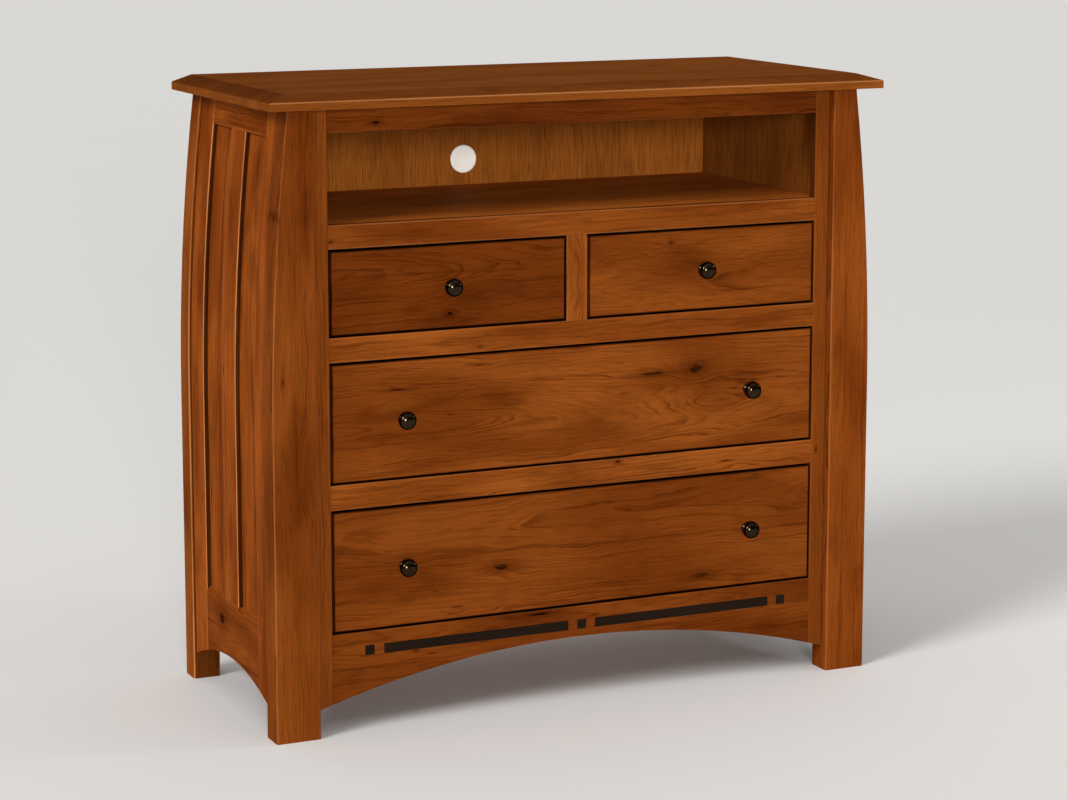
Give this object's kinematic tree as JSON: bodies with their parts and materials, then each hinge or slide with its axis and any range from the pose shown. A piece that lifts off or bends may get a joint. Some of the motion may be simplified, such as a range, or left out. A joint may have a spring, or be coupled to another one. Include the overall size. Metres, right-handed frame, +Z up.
{
  "type": "media chest",
  "caption": "Free-standing wooden media chest with an open compartment and cable outlet over inset drawers, curved legs, panelled sides and an arched, inlaid apron.",
  "frame": {"origin": "on the floor, under the middle of the top's outline", "axes": "+X to the right as seen from the front, +Y to the back, +Z up; the drawers open towards -Y"},
  "size_m": [1.2, 0.528, 1.134],
  "materials": {
    "stained_wood": "warm brown stain under a satin clear coat",
    "dark_inlay": "near-black wood, satin",
    "plywood": "light veneered plywood, clear coat",
    "slide_steel": "zinc-plated sheet steel",
    "drawer_wood": "pale solid wood, clear coat",
    "knob_metal": "near-black, glossy",
    "screw_steel": "zinc-plated steel",
    "outlet_plastic": "off-white, satin"
  },
  "bodies": {
    "carcass": {"top_panel": "stained_wood", "front_leg_left": "stained_wood", "front_leg_right": "stained_wood", "rear_leg_left": "stained_wood", "rear_leg_right": "stained_wood", "side_stiles_left": "stained_wood", "side_stiles_right": "stained_wood", "side_top_rail_left": "stained_wood", "side_top_rail_right": "stained_wood", "side_bottom_rail_left": "stained_wood", "side_bottom_rail_right": "stained_wood", "side_panels_left": "stained_wood", "side_panels_right": "stained_wood", "face_stile_left": "stained_wood", "face_stile_right": "stained_wood", "face_top_rail": "stained_wood", "face_shelf_rail": "stained_wood", "face_upper_rail": "stained_wood", "face_lower_rail": "stained_wood", "drawer_divider": "stained_wood", "apron": "stained_wood", "media_shelf": "stained_wood", "apron_inlays": "dark_inlay", "inner_walls": "plywood", "back_panel": "plywood", "dust_panels": "plywood", "drawer_partition": "plywood", "slide_cleats": "plywood", "rear_filler_posts": "plywood", "cabinet_slide_channels": "slide_steel", "outlet_sleeve": "outlet_plastic"},
    "upper_left_drawer": {"upper_left_drawer_front": "stained_wood", "upper_left_drawer_box": "drawer_wood", "upper_left_drawer_bottom": "plywood", "upper_left_knobs": "knob_metal", "upper_left_knob_screws": "screw_steel", "upper_left_slide_runners": "slide_steel"},
    "upper_right_drawer": {"upper_right_drawer_front": "stained_wood", "upper_right_drawer_box": "drawer_wood", "upper_right_drawer_bottom": "plywood", "upper_right_knobs": "knob_metal", "upper_right_knob_screws": "screw_steel", "upper_right_slide_runners": "slide_steel"},
    "middle_drawer": {"middle_drawer_front": "stained_wood", "middle_drawer_box": "drawer_wood", "middle_drawer_bottom": "plywood", "middle_knobs": "knob_metal", "middle_knob_screws": "screw_steel", "middle_slide_runners": "slide_steel"},
    "lower_drawer": {"lower_drawer_front": "stained_wood", "lower_drawer_box": "drawer_wood", "lower_drawer_bottom": "plywood", "lower_knobs": "knob_metal", "lower_knob_screws": "screw_steel", "lower_slide_runners": "slide_steel"},
    "upper_left_slide": {"upper_left_slide_middles": "slide_steel"},
    "upper_right_slide": {"upper_right_slide_middles": "slide_steel"},
    "middle_slide": {"middle_slide_middles": "slide_steel"},
    "lower_slide": {"lower_slide_middles": "slide_steel"},
    "cap": {"outlet_cap": "outlet_plastic"}
  },
  "joints": [
    {"name": "upper_left_drawer_pull", "type": "slide", "parent": "carcass", "child": "upper_left_drawer", "axis": [0, -1, 0], "range_m": [0, 0.4]},
    {"name": "upper_left_slide_travel", "type": "slide", "parent": "carcass", "child": "upper_left_slide", "axis": [0, -1, 0], "range_m": [0, 0.2]},
    {"name": "upper_right_drawer_pull", "type": "slide", "parent": "carcass", "child": "upper_right_drawer", "axis": [0, -1, 0], "range_m": [0, 0.4]},
    {"name": "upper_right_slide_travel", "type": "slide", "parent": "carcass", "child": "upper_right_slide", "axis": [0, -1, 0], "range_m": [0, 0.2]},
    {"name": "middle_drawer_pull", "type": "slide", "parent": "carcass", "child": "middle_drawer", "axis": [0, -1, 0], "range_m": [0, 0.4]},
    {"name": "middle_slide_travel", "type": "slide", "parent": "carcass", "child": "middle_slide", "axis": [0, -1, 0], "range_m": [0, 0.2]},
    {"name": "lower_drawer_pull", "type": "slide", "parent": "carcass", "child": "lower_drawer", "axis": [0, -1, 0], "range_m": [0, 0.4]},
    {"name": "lower_slide_travel", "type": "slide", "parent": "carcass", "child": "lower_slide", "axis": [0, -1, 0], "range_m": [0, 0.2]},
    {"name": "cap_pull", "type": "slide", "parent": "carcass", "child": "cap", "axis": [0, -1, 0], "range_m": [0, 0.03]}
  ],
  "couplings": [
    {"joint": "upper_left_slide_travel", "follows": "upper_left_drawer_pull", "ratio": 0.5},
    {"joint": "upper_right_slide_travel", "follows": "upper_right_drawer_pull", "ratio": 0.5},
    {"joint": "middle_slide_travel", "follows": "middle_drawer_pull", "ratio": 0.5},
    {"joint": "lower_slide_travel", "follows": "lower_drawer_pull", "ratio": 0.5}
  ]
}
